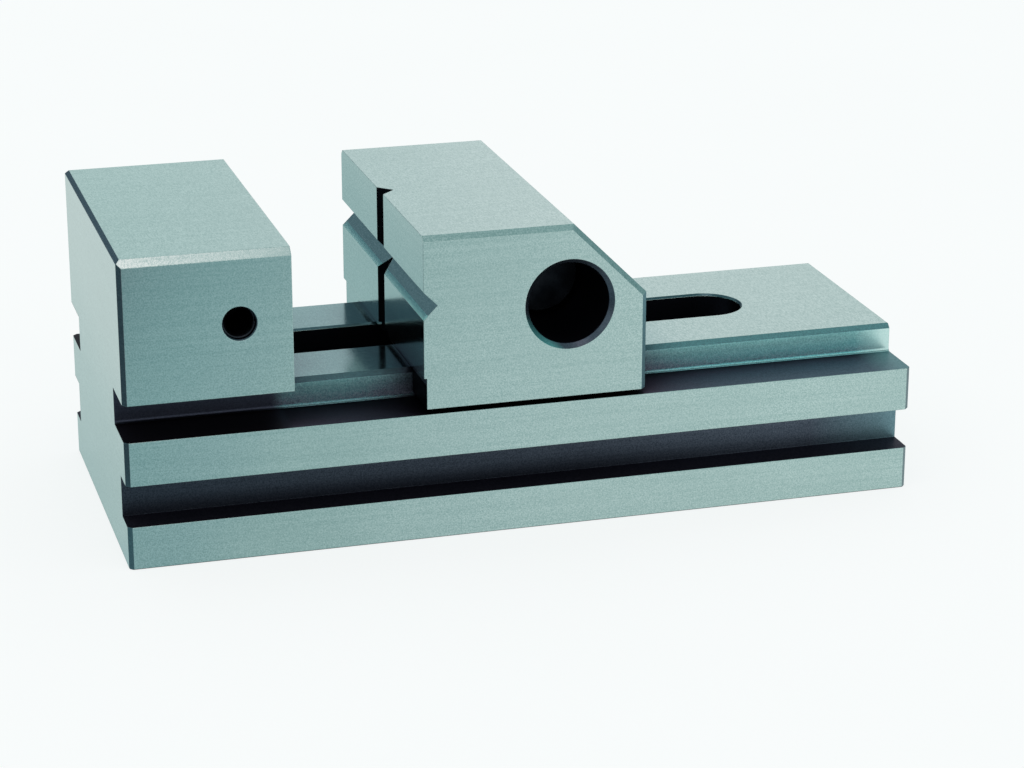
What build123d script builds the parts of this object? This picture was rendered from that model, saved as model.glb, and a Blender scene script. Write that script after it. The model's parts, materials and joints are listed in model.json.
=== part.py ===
"""Precision vise in ground steel, with a pull-down clamp screw at 45 degrees.

Millimetres. X runs along the bed from the fixed jaw to the free end, Y across the jaws and Z up. The
origin is under the middle of the bed, on the surface that the vise stands on. The moving jaw is drawn at
the opening shown in the photograph, with the nut lowered clear of its notches so that the jaw can slide.
"""
from build123d import *
from math import cos, radians, sin, tan
import os

# Bed and fixed jaw
body_length = 102.0
body_width = 44.0
bed_height = 20.1
jaw_depth = 19.1
fixed_jaw_thickness = 21.0
rail_width = 29.2
jaw_overhang_lift = 1.0
lower_flange_height = 5.5
lower_groove_height = 5.3
lower_groove_depth = 4.2
upper_flange_height = 5.6

# Openings between the jaws
opening_shown = 16.2
opening_max = 48.0

# Broken edges, all at 45 degrees
chamfer_angle = 45.0
moving_jaw_chamfer = 0.65
fixed_jaw_chamfer = 0.9
end_chamfer = 0.5
upright_chamfer = 0.55
rail_chamfer = 0.6
edge_break = 0.3
base_break = 0.1
foot_relief_radius = 0.5
rail_root_radius = 0.45

# Slot through the bed, and the pocket and notches under it
slot_width = 9.4
slot_end_land = 15.7
slot_mouth_chamfer = 0.25
pocket_width = 22.0
pocket_depth = 12.9
pocket_left_wall = 9.0
pocket_right_wall = 13.0
pocket_corner_radius = 4.0
notch_pitch = 8.0

# Tapped hole for a work stop, M4, in the near side of the fixed jaw
stop_hole_diameter = 4.0
stop_hole_depth = 9.0
stop_hole_from_end = 14.5
stop_hole_below_top = 8.9
stop_hole_mouth = 0.17
drill_point_angle = 118.0

# Moving jaw
moving_jaw_top = 19.3
slope_run = 9.5
skirt_clearance = 0.7
rail_clearance = 0.05
face_relief = 0.35
v_groove_depth = 1.8
v_groove_below_top = 8.8

# Cross bore and the barrel that swivels in it
cross_bore = 10.4
cross_bore_chamfer = 0.6
barrel_clearance = 0.04
barrel_length = 18.0
barrel_chamfer = 0.4
head_flat_height = 0.5
spring_flat_height = 3.5
seat_margin = 1.0
swing = 2.5

# Clamp screw, M6, with its washer and clip
screw_diameter = 6.0
thread_pitch = 1.0
thread_depth = 0.6134 * thread_pitch
thread_length = 24.0
head_diameter = 10.0
head_height = 6.0
head_sink = 0.05
head_clearance = 0.6
hex_across_flats = 5.0
hex_depth = 3.0
washer_thickness = 1.0
washer_hole_clearance = 0.2
screw_hole_clearance = 0.3
screw_tip_length = 0.8
screw_tip_chamfer = 0.4
clip_thickness = 0.7
clip_groove_play = 0.05
clip_groove_diameter = 4.0
clip_diameter = 9.0
clip_rim = 1.3
clip_tab_width = 1.6
clip_mouth = 4.0
clip_gap = 0.2

# Trunnion nut under the bed
nut_travel = 5.0
nut_length = 8.6
nut_height = 9.6
nut_side_clearance = 0.2
nut_thread_clearance = 0.06
nut_chamfer = 0.6
trunnion_diameter = 4.0
trunnion_end_clearance = 0.5
trunnion_rise = 0.34
notch_clearance = 0.3

# Spring around the screw, with the plate that it stands on
spring_wire = 0.7
spring_outer = 7.8
spring_turns = 8.0
spring_seat_gap = 0.03
spring_hole_room = 1.0
plate_thickness = 0.5
plate_edge = 0.35

# The slope and the clamp screw stand square to each other at 45 degrees
slope_angle = 45.0
screw_cos = cos(radians(slope_angle))
screw_sin = sin(radians(slope_angle))
slope_drop = slope_run * screw_sin / screw_cos

# Heights
jaw_top = bed_height + jaw_depth
jaw_bottom = bed_height + jaw_overhang_lift
lower_flange_top = lower_flange_height
upper_flange_bottom = lower_flange_top + lower_groove_height
upper_flange_top = upper_flange_bottom + upper_flange_height
skirt_bottom = upper_flange_top + skirt_clearance
relief_top = jaw_bottom

# Stations along the bed
left_end = -body_length / 2
right_end = body_length / 2
fixed_face = left_end + fixed_jaw_thickness
moving_face = fixed_face + opening_shown
moving_rear = moving_face + moving_jaw_top + slope_run

# How far a cut runs past the surface that it starts from
over = 1.0

# Axis of the clamp screw: it starts at the middle of the slope and dips towards the fixed jaw
barrel_depth = head_height + washer_thickness + head_flat_height + head_sink
barrel_x = moving_face + moving_jaw_top + slope_run / 2 - barrel_depth * screw_cos
barrel_z = jaw_top - slope_drop / 2 - barrel_depth * screw_sin
screw_frame = Plane(
    origin=(barrel_x, 0, barrel_z),
    x_dir=(0, 1, 0),
    z_dir=(-screw_cos, 0, -screw_sin),
)

# Distances along the screw from the axis of the barrel, positive towards the nut
trunnion_radius = trunnion_diameter / 2
raised_z = pocket_depth + trunnion_rise
nut_raised = (barrel_z - raised_z) / screw_sin
nut_rest = nut_raised + nut_travel
under_head = -head_flat_height - washer_thickness
clip_top = nut_rest + nut_length / 2 + clip_gap
clip_groove_end = clip_top + clip_thickness + clip_groove_play
screw_tip = clip_groove_end + screw_tip_length
plate_top = nut_rest - nut_length / 2 - plate_thickness

# Fits
barrel_radius = cross_bore / 2 - barrel_clearance
nut_width = slot_width - 2 * nut_side_clearance
trunnion_span = pocket_width - 2 * trunnion_end_clearance
washer_hole = screw_diameter + 2 * washer_hole_clearance
barrel_hole = screw_diameter + 2 * screw_hole_clearance
counterbore = head_diameter + 2 * head_clearance
spring_hole = spring_outer + 2 * spring_hole_room


def box_between(low, high):
    """A box from its lowest corner to its highest."""
    size = [b - a for a, b in zip(low, high)]
    middle = [(a + b) / 2 for a, b in zip(low, high)]
    return Pos(*middle) * Box(*size)


def prism_across(points, width):
    """An outline in X and Z, made solid across the vise."""
    face = Plane.XZ * make_face(Polyline(*points, close=True))
    return extrude(face, amount=width / 2, both=True)


def prism_along(points, start, end):
    """An outline in Y and Z, made solid from one station along the bed to another."""
    face = Plane.YZ.offset(start) * make_face(Polyline(*points, close=True))
    return extrude(face, amount=end - start)


def mirrored(half):
    """A closed outline from the points of its right half, listed from the bottom up."""
    return half + [(-y, z) for y, z in reversed(half)]


def slot_plan(left, right, width):
    """A slot with round ends, seen from above, between its two tips."""
    return Pos((left + right) / 2, 0) * SlotOverall(right - left, width)


def notch_centre(number):
    """X of the raised trunnions when they sit in one notch. Number 0 serves the closed jaws."""
    closed_barrel_x = barrel_x - opening_shown
    return closed_barrel_x - nut_raised * screw_cos + number * notch_pitch


def slot_left_tip():
    """The slot runs in under the fixed jaw until the lowered nut clears its round end."""
    lowered_x = barrel_x - opening_shown - nut_rest * screw_cos
    lowered_z = barrel_z - nut_rest * screw_sin
    swing_shift = nut_rest * sin(radians(swing)) * screw_sin
    top_x = lowered_x + (nut_length / 2) * screw_cos - (nut_height / 2) * screw_sin
    top_z = lowered_z + (nut_length / 2) * screw_sin + (nut_height / 2) * screw_cos
    reach = max(top_z + swing_shift - pocket_depth, 0)
    corner_x = top_x - reach * screw_cos / screw_sin - swing_shift
    return corner_x - notch_clearance - slot_width / 2


def block_outline():
    """Section across the vise through the fixed jaw: flanges, grooves, rail and jaw."""
    half = [
        (body_width / 2 - base_break, 0),
        (body_width / 2, base_break),
        (body_width / 2, lower_flange_top),
        (body_width / 2 - lower_groove_depth, lower_flange_top),
        (body_width / 2 - lower_groove_depth, upper_flange_bottom),
        (body_width / 2, upper_flange_bottom),
        (body_width / 2, upper_flange_top),
        (rail_width / 2, upper_flange_top),
        (rail_width / 2, jaw_bottom),
        (body_width / 2, jaw_bottom),
        (body_width / 2, jaw_top - fixed_jaw_chamfer),
        (body_width / 2 - fixed_jaw_chamfer, jaw_top),
    ]
    return mirrored(half)


def block_side():
    """The vise body seen from the side, with its broken ends."""
    return [
        (left_end + base_break, 0),
        (right_end - base_break, 0),
        (right_end, base_break),
        (right_end, bed_height - base_break),
        (right_end - base_break, bed_height),
        (fixed_face, bed_height),
        (fixed_face, jaw_top),
        (left_end + end_chamfer, jaw_top),
        (left_end, jaw_top - end_chamfer),
        (left_end, base_break),
    ]


def block_plan():
    """The body from above, with its four upright corners chamfered."""
    rectangle = Rectangle(body_length, body_width)
    return chamfer(rectangle.vertices(), upright_chamfer)


def rail_edges():
    """What comes off the two long top edges of the rail, clear of the fixed jaw."""
    half = rail_width / 2
    near = [(half, bed_height - rail_chamfer), (half, bed_height), (half - rail_chamfer, bed_height)]
    far = [(-y, z) for y, z in near]
    return [prism_along(near, fixed_face, right_end), prism_along(far, fixed_face, right_end)]


def rail_roots():
    """The small fillets between the sides of the rail and the tops of the upper flanges."""
    side = rail_width / 2
    top = upper_flange_top
    radius = rail_root_radius
    near = make_face(
        Polyline((side + radius, top), (side, top), (side, top + radius))
        + RadiusArc((side, top + radius), (side + radius, top), -radius)
    )
    far = mirror(near, about=Plane.YZ)
    return [extrude(Plane.YZ.offset(left_end) * half, amount=body_length) for half in (near, far)]


def bed_slot():
    """The slot through the bed, and the chamfer round its mouth."""
    left = slot_left_tip()
    right = right_end - slot_end_land
    through = extrude(slot_plan(left, right, slot_width), amount=bed_height)
    wide = slot_plan(left, right + slot_mouth_chamfer, slot_width + 2 * slot_mouth_chamfer)
    mouth = extrude(Pos(0, 0, bed_height) * wide, amount=-slot_mouth_chamfer, taper=chamfer_angle)
    in_bed = box_between(
        (fixed_face, -body_width, bed_height - slot_mouth_chamfer),
        (right_end, body_width, bed_height),
    )
    return [through, mouth & in_bed]


def pocket():
    """The hollow under the bed in which the nut travels, open below."""
    left = left_end + pocket_left_wall
    right = right_end - pocket_right_wall
    middle = Pos((left + right) / 2, 0)
    hollow = middle * RectangleRounded(right - left, pocket_width, pocket_corner_radius)
    wide = middle * RectangleRounded(
        right - left + 2 * edge_break,
        pocket_width + 2 * edge_break,
        pocket_corner_radius + edge_break,
    )
    return [extrude(hollow, amount=pocket_depth), extrude(wide, amount=edge_break, taper=chamfer_angle)]


def notch(centre):
    """One saw-tooth notch. Its sloping face is square to the screw, a clearance off the trunnions.

    Its upright wall clears the trunnions both as they come up and as the barrel swings.
    """
    contact = trunnion_radius + notch_clearance
    swing_room = contact + nut_raised * sin(radians(swing)) * screw_sin
    path_room = contact / screw_sin + trunnion_rise
    wall = centre - max(swing_room, path_room)
    roof = raised_z + swing_room
    floor = pocket_depth - edge_break

    def face_x(z):
        return centre + (contact - (z - raised_z) * screw_sin) / screw_cos

    outline = [(wall, floor), (face_x(floor), floor), (face_x(roof), roof), (wall, roof)]
    return prism_across(outline, pocket_width)


def notches():
    """The row of notches, from the closed jaws to the widest opening."""
    count = int(opening_max / notch_pitch) + 1
    return [notch(notch_centre(number)) for number in range(count)]


def stop_hole():
    """Blind M4 hole for a work stop, drawn at the thread's outer diameter, with a drill point."""
    radius = stop_hole_diameter / 2
    mouth = radius + stop_hole_mouth
    point = radius / tan(radians(drill_point_angle / 2))
    outline = Polyline(
        (0, 0),
        (mouth, 0),
        (radius, stop_hole_mouth),
        (radius, stop_hole_depth),
        (0, stop_hole_depth + point),
        close=True,
    )
    hole = revolve(Plane.XZ * make_face(outline), axis=Axis.Z)
    seat = Plane(
        origin=(left_end + stop_hole_from_end, -body_width / 2, jaw_top - stop_hole_below_top),
        x_dir=(1, 0, 0),
        z_dir=(0, 1, 0),
    )
    return seat * hole


def foot_relief():
    """The small round groove that clears the corner between fixed jaw and bed."""
    return Pos(fixed_face, 0, bed_height) * Rot(90, 0, 0) * Cylinder(foot_relief_radius, body_width)


def make_vise_body():
    """Bed, flanges and fixed jaw, ground from one block."""
    body = prism_along(block_outline(), left_end, right_end)
    body &= prism_across(block_side(), body_width + over)
    body &= extrude(block_plan(), amount=jaw_top + over)
    for fillet_piece in rail_roots():
        body += fillet_piece
    for cut in rail_edges() + bed_slot() + pocket() + notches():
        body -= cut
    body -= foot_relief()
    body -= stop_hole()
    return body


def jaw_side():
    """The moving jaw seen from the side, before its bores and grooves."""
    return [
        (moving_face + face_relief, skirt_bottom),
        (moving_rear, skirt_bottom),
        (moving_rear, jaw_top - slope_drop),
        (moving_face + moving_jaw_top, jaw_top),
        (moving_face, jaw_top),
        (moving_face, relief_top),
        (moving_face + face_relief, relief_top),
    ]


def is_outer_edge(edge):
    """Whether an edge bounds a flank of the moving jaw at its top, its slope or its rear."""
    middle = edge.center()
    on_flank = abs(abs(middle.Y) - body_width / 2) < edge_break
    high = middle.Z > jaw_top - slope_drop and middle.X > moving_face + edge_break
    at_rear = middle.X > moving_rear - edge_break
    return on_flank and (high or at_rear)


def v_grooves():
    """The two crossed grooves in the clamping face that hold round work."""
    deep = moving_face + v_groove_depth
    z = jaw_top - v_groove_below_top
    level = [
        (moving_face - over, z - v_groove_depth - over),
        (deep, z),
        (moving_face - over, z + v_groove_depth + over),
    ]
    upright = Polyline(
        (moving_face - over, -v_groove_depth - over),
        (deep, 0),
        (moving_face - over, v_groove_depth + over),
        close=True,
    )
    upright = extrude(make_face(upright), amount=jaw_top + over)
    return [prism_across(level, body_width + over), upright]


def cross_bore_tool():
    """The bore for the barrel, right through the jaw, with its chamfered mouths."""
    radius = cross_bore / 2
    half = body_width / 2
    wide = radius + cross_bore_chamfer
    outline = Polyline(
        (0, -half),
        (wide, -half),
        (radius, -half + cross_bore_chamfer),
        (radius, half - cross_bore_chamfer),
        (wide, half),
        (0, half),
        close=True,
    )
    tool = revolve(Plane.XZ * make_face(outline), axis=Axis.Z)
    return Pos(barrel_x, 0, barrel_z) * Rot(90, 0, 0) * tool


def screw_passage():
    """The counterbore for the screw head in the slope, and the hole for the spring below the barrel."""
    head_side = Pos(0, 0, -barrel_depth / 2 - over / 2) * Cylinder(counterbore / 2, barrel_depth + over)
    spring_side = Pos(0, 0, nut_rest / 2) * Cylinder(spring_hole / 2, nut_rest)
    mouth = Pos(0, 0, -barrel_depth + edge_break / 2) * Cone(
        counterbore / 2 + edge_break, counterbore / 2, edge_break
    )
    return [screw_frame * head_side, screw_frame * spring_side, screw_frame * mouth]


def make_moving_jaw():
    """The saddle that slides on the rail and carries the barrel."""
    jaw = prism_across(jaw_side(), body_width)
    jaw = chamfer([edge for edge in jaw.edges() if is_outer_edge(edge)], moving_jaw_chamfer)
    channel = rail_width / 2 + rail_clearance
    jaw -= box_between(
        (moving_face - over, -channel, skirt_bottom - over),
        (moving_rear + over, channel, bed_height),
    )
    for cut in v_grooves() + screw_passage():
        jaw -= cut
    return jaw - cross_bore_tool()


def make_swivel_barrel():
    """Round bar across the jaw, with a flat for the screw head, a flat for the spring and a hole."""
    bar = Rot(0, 90, 0) * Cylinder(barrel_radius, barrel_length)
    bar = chamfer(bar.edges().filter_by(GeomType.CIRCLE), barrel_chamfer)
    seat = head_diameter / 2 + seat_margin
    bar -= box_between(
        (-seat, -cross_bore, -cross_bore),
        (seat, cross_bore, -head_flat_height),
    )
    foot = spring_outer / 2 + seat_margin
    bar -= box_between((-foot, -cross_bore, spring_flat_height), (foot, cross_bore, cross_bore))
    bar -= Cylinder(barrel_hole / 2, 2 * cross_bore)
    return screw_frame * bar


def ring(outer, inner, bottom, top):
    """A flat ring around the screw, between two distances along it."""
    solid = Cylinder(outer / 2, top - bottom) - Cylinder(inner / 2, top - bottom)
    return Pos(0, 0, (bottom + top) / 2) * solid


def make_thrust_washer():
    """Hardened washer between the screw head and the barrel."""
    return screw_frame * ring(head_diameter, washer_hole, under_head, -head_flat_height)


def thread_outline(start, end):
    """Half section of the threaded stretch, as rings of the real pitch and depth."""
    crest = screw_diameter / 2
    root = crest - thread_depth
    count = int((end - start) / thread_pitch)
    points = []
    for number in range(count):
        base = start + number * thread_pitch
        points += [(crest, base), (root, base + thread_pitch / 2)]
    return points + [(crest, start + count * thread_pitch)]


def make_clamp_screw():
    """M6 socket-head cap screw, with a groove for the clip near its tip."""
    crest = screw_diameter / 2
    groove = clip_groove_diameter / 2
    head = head_diameter / 2
    thread_start = screw_tip - thread_length
    outline = [(0, under_head - head_height)]
    outline += [(head - edge_break, under_head - head_height), (head, under_head - head_height + edge_break)]
    outline += [(head, under_head), (crest, under_head)]
    outline += thread_outline(thread_start, clip_top - thread_pitch / 2)
    outline += [(crest, clip_top), (groove, clip_top), (groove, clip_groove_end), (crest, clip_groove_end)]
    outline += [(crest, screw_tip - screw_tip_chamfer), (crest - screw_tip_chamfer, screw_tip)]
    outline += [(0, screw_tip)]
    screw = revolve(Plane.XZ * make_face(Polyline(*outline, close=True)), axis=Axis.Z)
    socket = extrude(RegularPolygon(hex_across_flats / 2, 6, major_radius=False), amount=hex_depth)
    screw -= Pos(0, 0, under_head - head_height) * socket
    return screw_frame * screw


def make_screw_end_clip():
    """E-shaped clip: a rim, three tabs that reach the groove, and an open mouth."""
    outer = Circle(clip_diameter / 2)
    shape = outer - Circle(clip_diameter / 2 - clip_rim)
    reach = clip_diameter / 2 - clip_rim / 2
    for turn in (0, 90, 180):
        shape += Rot(0, 0, turn) * Pos(reach / 2, 0) * Rectangle(reach, clip_tab_width)
    shape -= Circle(clip_groove_diameter / 2 + clip_groove_play / 2)
    shape -= Pos(0, -clip_diameter / 2) * Rectangle(clip_mouth, clip_diameter)
    start = clip_top + clip_groove_play / 2
    return screw_frame * Pos(0, 0, start) * extrude(shape, amount=clip_thickness)


def make_trunnion_nut():
    """Threaded block that runs in the slot, with a round trunnion at each side for the notches."""
    block = Box(nut_width, nut_height, nut_length)
    block = chamfer(block.edges().filter_by(Axis.X), nut_chamfer)
    bar = Rot(0, 90, 0) * Cylinder(trunnion_radius, trunnion_span)
    bar = chamfer(bar.edges().filter_by(GeomType.CIRCLE), edge_break)
    nut = block + bar
    nut -= Cylinder(screw_diameter / 2 + nut_thread_clearance, 2 * nut_height)
    return screw_frame * Pos(0, 0, nut_rest) * nut


def make_spring_plate():
    """Thin washer on the nut, under the foot of the spring."""
    return screw_frame * ring(nut_width - 2 * plate_edge, washer_hole, plate_top, plate_top + plate_thickness)


def make_return_spring():
    """Coil spring around the screw, from the barrel to the plate on the nut."""
    mean = (spring_outer - spring_wire) / 2
    start = spring_flat_height + spring_wire / 2 + spring_seat_gap
    end = plate_top - spring_wire / 2 - spring_seat_gap
    path = Pos(0, 0, start) * Helix((end - start) / spring_turns, end - start, mean)
    section = Plane(origin=path @ 0, z_dir=path % 0) * Circle(spring_wire / 2)
    return screw_frame * sweep(section, path=path)


MAKERS = {
    "vise_body": make_vise_body,
    "moving_jaw": make_moving_jaw,
    "swivel_barrel": make_swivel_barrel,
    "thrust_washer": make_thrust_washer,
    "clamp_screw": make_clamp_screw,
    "screw_end_clip": make_screw_end_clip,
    "trunnion_nut": make_trunnion_nut,
    "spring_plate": make_spring_plate,
    "return_spring": make_return_spring,
}

os.makedirs("parts", exist_ok=True)
for name, make in MAKERS.items():
    export_step(make(), f"parts/{name}.step")

print(f"screw length under head {screw_tip - under_head:.2f}")
print(f"barrel axis at x {barrel_x:.3f} z {barrel_z:.3f}")
print(f"nut centre along the screw: raised {nut_raised:.3f} rest {nut_rest:.3f}")
print(f"slot from {slot_left_tip():.2f} to {right_end - slot_end_land:.2f}")
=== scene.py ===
"""Precision vise in ground tool steel: its finishes, threads and spring, on a pale studio floor.

Metres, in the frame of the CAD model: X along the bed from the fixed jaw to the free end, Y across the
jaws and Z up. Sizes are written in millimetres and multiplied by mm.
"""
import bpy
import bmesh
import json
import math
from mathutils import Matrix, Vector


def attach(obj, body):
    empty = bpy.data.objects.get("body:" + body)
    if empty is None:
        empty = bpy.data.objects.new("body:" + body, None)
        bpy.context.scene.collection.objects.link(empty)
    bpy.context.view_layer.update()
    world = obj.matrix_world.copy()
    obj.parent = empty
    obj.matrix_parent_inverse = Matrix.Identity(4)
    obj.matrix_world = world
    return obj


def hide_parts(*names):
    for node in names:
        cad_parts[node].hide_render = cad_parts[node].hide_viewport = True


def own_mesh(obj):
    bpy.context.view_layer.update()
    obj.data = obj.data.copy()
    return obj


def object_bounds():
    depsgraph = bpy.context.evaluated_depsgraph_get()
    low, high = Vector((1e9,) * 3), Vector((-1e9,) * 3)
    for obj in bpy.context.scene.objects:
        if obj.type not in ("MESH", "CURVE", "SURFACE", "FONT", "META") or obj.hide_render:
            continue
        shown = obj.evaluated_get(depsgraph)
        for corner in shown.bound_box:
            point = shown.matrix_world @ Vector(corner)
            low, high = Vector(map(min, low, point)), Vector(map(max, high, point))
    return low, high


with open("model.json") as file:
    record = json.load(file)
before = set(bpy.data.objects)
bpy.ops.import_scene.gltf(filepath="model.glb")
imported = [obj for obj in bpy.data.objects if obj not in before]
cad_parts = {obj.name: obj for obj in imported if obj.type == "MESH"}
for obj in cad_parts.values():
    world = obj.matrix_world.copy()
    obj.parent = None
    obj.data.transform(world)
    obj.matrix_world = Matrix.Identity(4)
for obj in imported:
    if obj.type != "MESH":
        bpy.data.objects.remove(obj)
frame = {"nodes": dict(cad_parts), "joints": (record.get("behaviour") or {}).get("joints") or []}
cad_low, cad_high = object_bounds()

mm = 0.001

# The vise body, as its sections show it
rail_half = 14.6 * mm
groove_wall = 17.8 * mm
flank = 22.0 * mm
fixed_face = -30.0 * mm
lower_groove = (5.5 * mm, 10.8 * mm)
upper_groove = (16.4 * mm, 21.1 * mm)
bed_top = 20.1 * mm
pocket_half = 11.0 * mm
slot_mouth = 0.25 * mm

# The hollows under the bed are looked for this far in from the ends and up from the base
end_inset = 0.6 * mm
base_inset = 0.4 * mm

# A level face counts as the bed's when it is this near to its height
bed_reach = 1.5 * mm

# The tapped hole for a work stop, M4
stop_hole = Vector((-36.5, -22.0, 30.3)) * mm
stop_hole_radius = 2.0 * mm
stop_hole_mouth = 0.17 * mm
stop_pitch = 0.7 * mm
stop_ridge = 0.38 * mm
stop_thread_start = 0.5 * mm
stop_thread_length = 8.0 * mm
stop_thread_points = 40

# The moving jaw at rest
bore_radius = 5.2 * mm
bore_chamfer = 0.6 * mm
v_groove_lip = 28.6 * mm
v_lip_width = 0.55 * mm

# The barrel and the clamp screw, M6, along an axis that starts at the barrel and runs to the nut
joints = {joint["name"]: joint for joint in frame["joints"]}
barrel_centre = Vector(joints["barrel_swing"]["pos_m"])
screw_axis = -Vector(joints["nut_travel"]["axis"]).normalized()
counterbore_radius = 5.6 * mm
counterbore_chamfer = 0.3 * mm
slope_distance = 7.55 * mm
screw_radius = 3.0 * mm
screw_pitch = 1.0 * mm
thread_depth = 0.6134 * screw_pitch
head_radius = 5.0 * mm
head_top = -7.5 * mm
head_bottom = -1.5 * mm
hex_apothem = 2.5 * mm
hex_depth = 3.0 * mm
thread_start = 9.5 * mm
groove_start = 31.945 * mm
groove_end = 32.695 * mm
groove_radius = 2.0 * mm
screw_tip = 33.5 * mm
tip_chamfer = 0.4 * mm
screw_sides = 48
screw_sharp_from = 32.0
head_core = 4.86 * mm
head_rounding = 0.45 * mm
hex_mouth = 0.15 * mm
drill_point_depth = 0.8 * mm
neck_fillet = 0.2 * mm
knurl_count = 72
thread_ridge_reach = 0.5 * mm

# The spring, from the flat under the barrel to its plate on the nut
spring_wire = 0.7 * mm
spring_outer = 7.8 * mm
spring_turns = 8.0
spring_closed_turns = 1.0
spring_low = 3.5 * mm
spring_high = 22.645 * mm
spring_points = 48
spring_sides = 16

# A three-sided section with a corner towards the axis of its coil, or away from it, and a height that is
# above every coil, for a coil that isn't cut flat at its top
inward_section = math.pi
outward_section = 0.0
uncut = 1.0

# How far a mask reaches past the faces that it covers, and how far round an edge the light bends, on the
# ground blocks, on turned pieces and on the spring wire
margin = 0.05 * mm
edge_softness = 0.12 * mm
turned_edge = 0.08 * mm
wire_edge = 0.04 * mm
edge_samples = 4

# A face counts as square to an axis from this share of its direction, as halfway between two axes within
# this much of the cosine of 45 degrees, and as part of a rounded root within this much of a half
square_on = 0.9
halfway = math.cos(math.pi / 4)
halfway_play = 0.06
rounded_play = 0.4

# The patterns of a ground face, in features per millimetre. Wheel marks are long along the stroke. The
# grain is finer than this, and is drawn as coarse as it needs to show
strokes_along = 0.04
strokes_across = 3.2
grains = (5.5, 1.9, 5.5)
clouds = 0.06
ground_relief = 0.0003 * mm

# How much of a ground face's pattern is wheel marks, the rest being grain, the span of it that shows, and
# how far the pattern evens out in clouds
stroke_share = 0.2
pattern_low = 0.36
pattern_high = 0.64
worked_share = 0.3

# The patterns of the other finishes, in features per millimetre, and the height of their bump
lathe_rings = 7.0
oxide_bloom = 0.5
wire_temper = 0.8
wire_grain = 9.0
turned_relief = 0.002 * mm
wire_relief = 0.001 * mm

# A noise stays mostly between the first two values, and the cast of the spring wire between the others
noise_low = 0.3
noise_high = 0.7
cast_low = 0.35
cast_high = 0.65

# Roughness of each finish at its brightest and at its dullest
ground_roughness = (0.10, 0.19)
oxide_roughness = (0.26, 0.42)
turned_roughness = (0.22, 0.34)
wire_roughness = (0.26, 0.38)

# Between these two roughnesses a skin loses the bright glance that clean metal has at a low angle
clean_roughness = 0.3
dull_roughness = 0.4
dull_glance = 0.6

# How far round a place the steel looks for open sky, and between which shares of it level faces get painted
# shade
sky_reach = 25.0 * mm
sky_samples = 8
corner_shade_from = 0.85
corner_shade_full = 0.4
pool_shade_from = 0.5
pool_shade_full = 0.3

# Painted shade, near black, for places that hardly any light gets into: its dark and its light tone and its
# roughness
black_shade = ("#15161c", "#1b1d25", 0.45)

# Where painted light and shade come in on the body: what each goes by, where it starts to show and where it
# is full.
# It goes by the share of open sky that a place sees, or by its place in millimetres
right_end = cad_high.x / mm
body_tones = {
    "half_shaded": ("sky", 0.86, 0.60),
    "shaded": ("sky", 0.58, 0.49),
    "edge_buried_painted_shade": ("sky", 0.54, 0.44),
    "deep": ("sky", 0.46, 0.38),
    "buried_painted_shade": ("sky", 0.38, 0.34),
    "ledge_half_shaded": ("sky", 0.96, 0.68),
    "ledge_shaded": ("sky", 0.64, 0.58),
    "under_jaw_painted_shade": ("x", fixed_face / mm, fixed_face / mm - 1.5),
    "right_part_painted_light": ("x", 8.0, 36.0),
    "free_end_painted_light": ("x", right_end - 12.0, right_end),
    "last_end_painted_light": ("x", right_end - 5.0, right_end - 1.0),
    "rail_foot_painted_light": ("z", 18.8, 17.2),
    "groove_foot_painted_shade": ("z", 7.7, 5.5),
    "groove_head_painted_shade": ("z", 9.9, 10.4),
}

# On the moving jaw, in millimetres: where the painted shade of the near half fades out, how far up from the
# bed the foot of the clamping face is painted dark as shade, and where a painted highlight on the bore's
# chamfer comes in, down to the left
near_half = (-8.0, -2.0)
foot_shade_height = 5.0
down_left = (-0.7, 0.0, -0.7)
rim_highlight = (4.4, 5.3)

# The paper on the floor: its half width, how far it lies below the vise, its pattern in features per
# millimetre, and how much of it shows as plain white
floor_half = 3.0
floor_drop = 0.05 * mm
paper_fibre = 0.02
paper_white = 0.8
white = "#fcffff"

# What the steel sees of the floor, painted with the vise's shadow and shade, along X from 150 mm left of
# the vise to 150 mm right of it. The tones in front run aslant: a millimetre further back counts as 0.35 mm
# further right, from a line along X on. They give way to the tones behind between two places along Y
studio_half = 150.0
floor_slant = 0.35
floor_slant_from = -60.0
floor_change = (-22.0, -10.0)
painted_floor_behind = [
    (0.000, "#dde9e8"),
    (0.287, "#d8e5e3"),
    (0.313, "#bfd5d4"),
    (0.373, "#9ec2c3"),
    (0.415, "#9ec2c3"),
    (0.480, "#e4f0ef"),
]
painted_floor_in_front = [
    (0.260, "#55636f"),
    (0.300, "#87aeb4"),
    (0.347, "#9bc0c4"),
    (0.383, "#abc9cd"),
    (0.433, "#c6dcdc"),
    (0.500, "#ddecec"),
    (0.573, "#eaf6f5"),
    (0.690, "#f0fcfa"),
]

# What the steel sees of the walls, by heading from straight in front round by the left, through straight
# behind at 0.5, to the right and the front again, and the rise over which they go over to the ceiling
ceiling = "#b3cbcb"
ceiling_span = (0.55, 0.80)
walls_by_heading = [
    (0.000, "#ecf5f4"),
    (0.385, "#ecf5f4"),
    (0.436, "#667e88"),
    (0.485, "#667e88"),
    (0.505, "#cfe3e2"),
    (0.522, "#d7e9e8"),
    (0.537, "#e4efef"),
    (0.545, "#f1f7f7"),
    (0.580, "#eaf3f2"),
    (0.690, "#b4cccc"),
    (0.760, "#8fadaf"),
    (0.860, "#ecf5f4"),
]

# How bright the studio is as light on matt surfaces, and how bright it looks
soft_light = 0.9
seen_light = 1.0

# The camera: a long lens on a full-frame sensor, turned right and down by so many degrees
lens = 102.6
sensor_width = 36.0
nearest = 10.0 * mm
camera_place = Vector((-97.2, -350.2, 138.2)) * mm
camera_right = 16.08
camera_down = 19.18

# What both lamps face
lamp_aim = Vector((0.0, 0.0, 20.0)) * mm

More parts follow.
